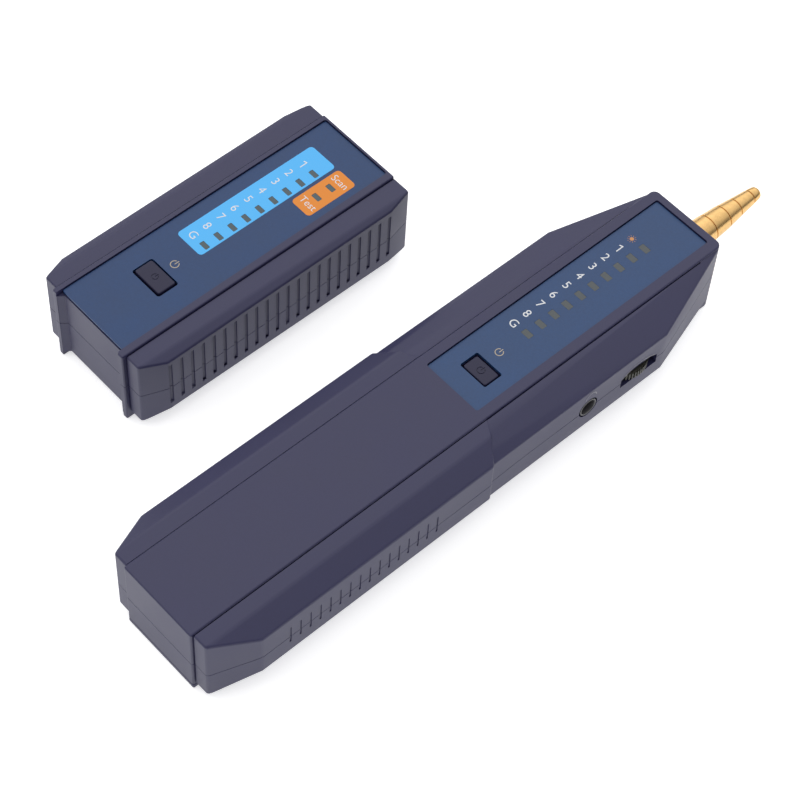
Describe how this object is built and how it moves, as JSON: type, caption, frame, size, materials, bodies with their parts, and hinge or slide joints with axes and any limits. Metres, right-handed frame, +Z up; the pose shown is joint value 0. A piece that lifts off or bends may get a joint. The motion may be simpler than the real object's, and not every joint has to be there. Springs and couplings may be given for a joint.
{
  "type": "network cable tester",
  "caption": "Network cable tester: hand-held receiver with stepped brass probe, light row, volume wheel and earphone jack, and a transmitter box with cable sockets.",
  "frame": {"origin": "middle of the pair on the surface they stand on: centre of the bounding box, at its bottom", "axes": "+Y along both units towards the receiver's probe, +Z up, receiver on the +X side"},
  "size_m": [0.1264, 0.224, 0.0289],
  "materials": {
    "case": "moulded dark slate-indigo plastic, fine satin texture",
    "receiver_film": "printed blue film, satin",
    "transmitter_film": "printed blue film with a light blue and an orange panel",
    "clear_plastic": "clear moulded plastic, smoky",
    "led": "diffused plastic",
    "board": "green solder mask",
    "black_plastic": "moulded black plastic",
    "wheel_plastic": "knurled black plastic",
    "brass": "turned, satin",
    "steel": "plated",
    "gold": "gold plated",
    "battery_jacket": "plain printed jacket",
    "red_wire": "insulation",
    "black_wire": "insulation"
  },
  "bodies": {
    "receiver": {"receiver_top_shell": "case", "receiver_bottom_shell": "case", "receiver_label": "receiver_film", "receiver_button_switch": "black_plastic", "receiver_main_board": "board", "receiver_led_strip": "led", "receiver_light_guide": "clear_plastic", "receiver_volume_pot": "black_plastic", "receiver_earphone_jack": "black_plastic", "receiver_jack_ring": "black_plastic", "receiver_probe": "brass", "receiver_probe_washer": "steel", "receiver_probe_nut": "brass", "receiver_probe_lead": "red_wire", "receiver_network_socket": "black_plastic", "receiver_network_contacts": "gold", "receiver_speaker": "black_plastic", "receiver_battery": "battery_jacket", "receiver_battery_snap": "black_plastic", "receiver_battery_lead_red": "red_wire", "receiver_battery_lead_black": "black_wire", "receiver_case_screw_1": "steel", "receiver_case_screw_2": "steel", "receiver_case_screw_3": "steel", "receiver_case_screw_4": "steel"},
    "receiver_button": {"receiver_button": "case"},
    "receiver_volume_wheel": {"receiver_volume_wheel": "wheel_plastic", "receiver_wheel_screw": "steel"},
    "receiver_battery_door": {"receiver_battery_door": "case"},
    "transmitter": {"transmitter_top_shell": "case", "transmitter_bottom_shell": "case", "transmitter_label": "transmitter_film", "transmitter_button_switch": "black_plastic", "transmitter_main_board": "board", "transmitter_led_strip": "led", "transmitter_light_guide": "clear_plastic", "transmitter_mode_light_guide": "clear_plastic", "transmitter_network_socket": "black_plastic", "transmitter_network_contacts": "gold", "transmitter_phone_socket": "black_plastic", "transmitter_phone_contacts": "gold", "transmitter_battery": "battery_jacket", "transmitter_battery_snap": "black_plastic", "transmitter_battery_lead_red": "red_wire", "transmitter_battery_lead_black": "black_wire", "transmitter_case_screw_1": "steel", "transmitter_case_screw_2": "steel", "transmitter_case_screw_3": "steel", "transmitter_case_screw_4": "steel"},
    "transmitter_button": {"transmitter_button": "case"},
    "transmitter_battery_door": {"transmitter_battery_door": "case"}
  },
  "joints": [
    {"name": "receiver_button_press", "type": "slide", "parent": "receiver", "child": "receiver_button", "axis": [0, 0, -1], "range_m": [0, 0.0005], "stiffness_N_per_m": 1200},
    {"name": "receiver_volume_turn", "type": "hinge", "parent": "receiver", "child": "receiver_volume_wheel", "pos_m": [0.05505, 0.0381, 0.0153], "axis": [0, 0, 1], "range_deg": [-140, 140]},
    {"name": "receiver_door_slide", "type": "slide", "parent": "receiver", "child": "receiver_battery_door", "axis": [0, -1, 0], "range_m": [0, 0.012]},
    {"name": "transmitter_set_aside", "type": "slide", "parent": "receiver", "child": "transmitter", "axis": [-1, 0, 0], "range_m": [0, 0.06]},
    {"name": "transmitter_button_press", "type": "slide", "parent": "transmitter", "child": "transmitter_button", "axis": [0, 0, -1], "range_m": [0, 0.0005], "stiffness_N_per_m": 1200},
    {"name": "transmitter_door_slide", "type": "slide", "parent": "transmitter", "child": "transmitter_battery_door", "axis": [0, -1, 0], "range_m": [0, 0.012]}
  ]
}
